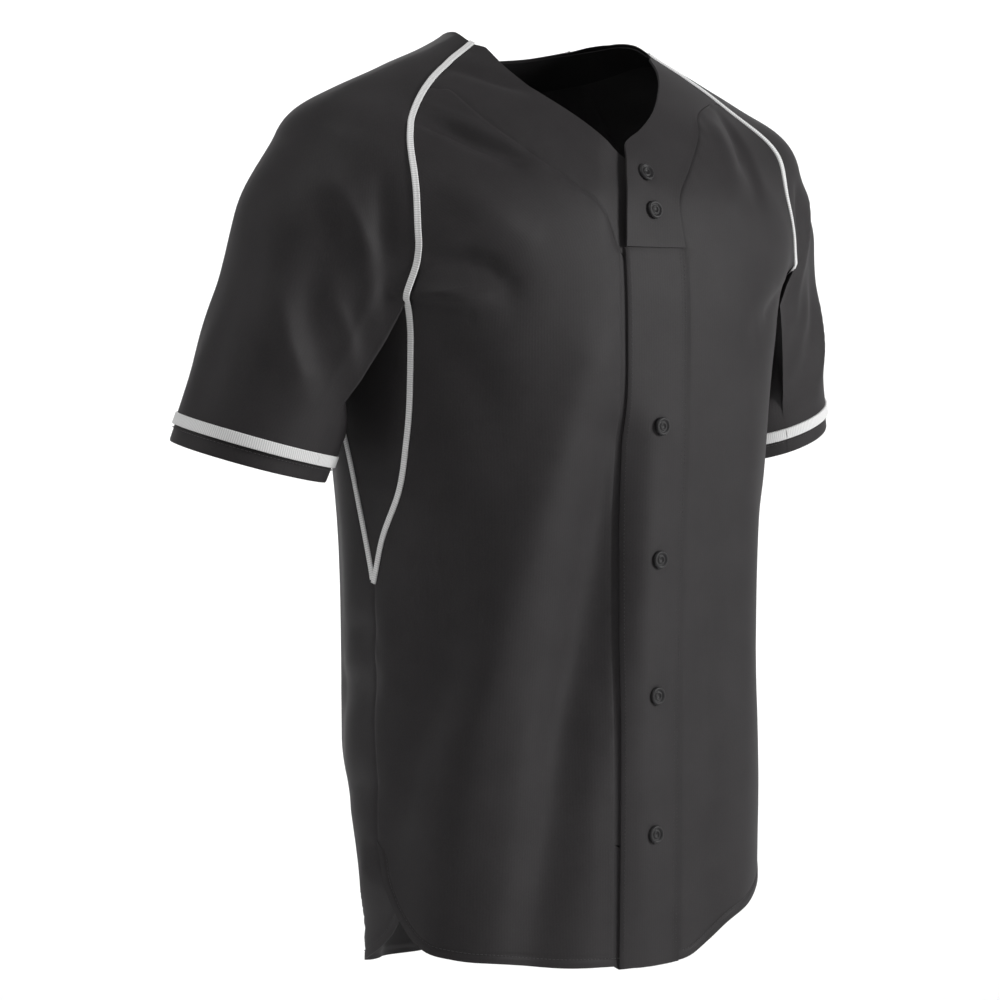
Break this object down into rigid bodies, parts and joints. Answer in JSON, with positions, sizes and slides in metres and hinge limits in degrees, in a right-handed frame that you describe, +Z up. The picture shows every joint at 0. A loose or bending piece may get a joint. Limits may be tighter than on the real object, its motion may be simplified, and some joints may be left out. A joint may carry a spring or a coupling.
{
  "type": "baseball jersey",
  "caption": "Short-sleeved button-front baseball jersey with raglan sleeves, underarm gussets, piped seams and banded cuffs, filled out as if worn.",
  "frame": {"origin": "between the shoulders, level with the top of the neck opening, on the middle plane, where a wearer's or a form's shoulders hold the garment up", "axes": "+Z up, -Y the front with the buttons, +X the wearer's left"},
  "size_m": [0.6727, 0.2915, 0.7618],
  "materials": {
    "cloth": "smooth black polyester double knit with a soft sheen",
    "facing": "the same black knit in the shade of the neck, matt",
    "braid": "flat knitted white braid, matt",
    "button": "black moulded plastic, lightly polished"
  },
  "bodies": {
    "root": {"front_right": "cloth", "front_left": "cloth", "back": "cloth", "gusset_right": "cloth", "gusset_left": "cloth", "sleeve_right": "cloth", "sleeve_left": "cloth", "neck_band_right": "cloth", "neck_band_left": "cloth", "placket": "cloth", "cuff_band_right": "cloth", "cuff_band_left": "cloth", "piping_front_right": "braid", "piping_back_right": "braid", "piping_wedge_front_right": "braid", "piping_wedge_back_right": "braid", "piping_front_left": "braid", "piping_back_left": "braid", "piping_wedge_front_left": "braid", "piping_wedge_back_left": "braid", "cuff_braid_right": "braid", "cuff_braid_left": "braid", "neck_facing": "facing", "button_1": "button", "button_2": "button", "button_3": "button", "button_4": "button", "button_5": "button", "button_6": "button"}
  },
  "joints": []
}
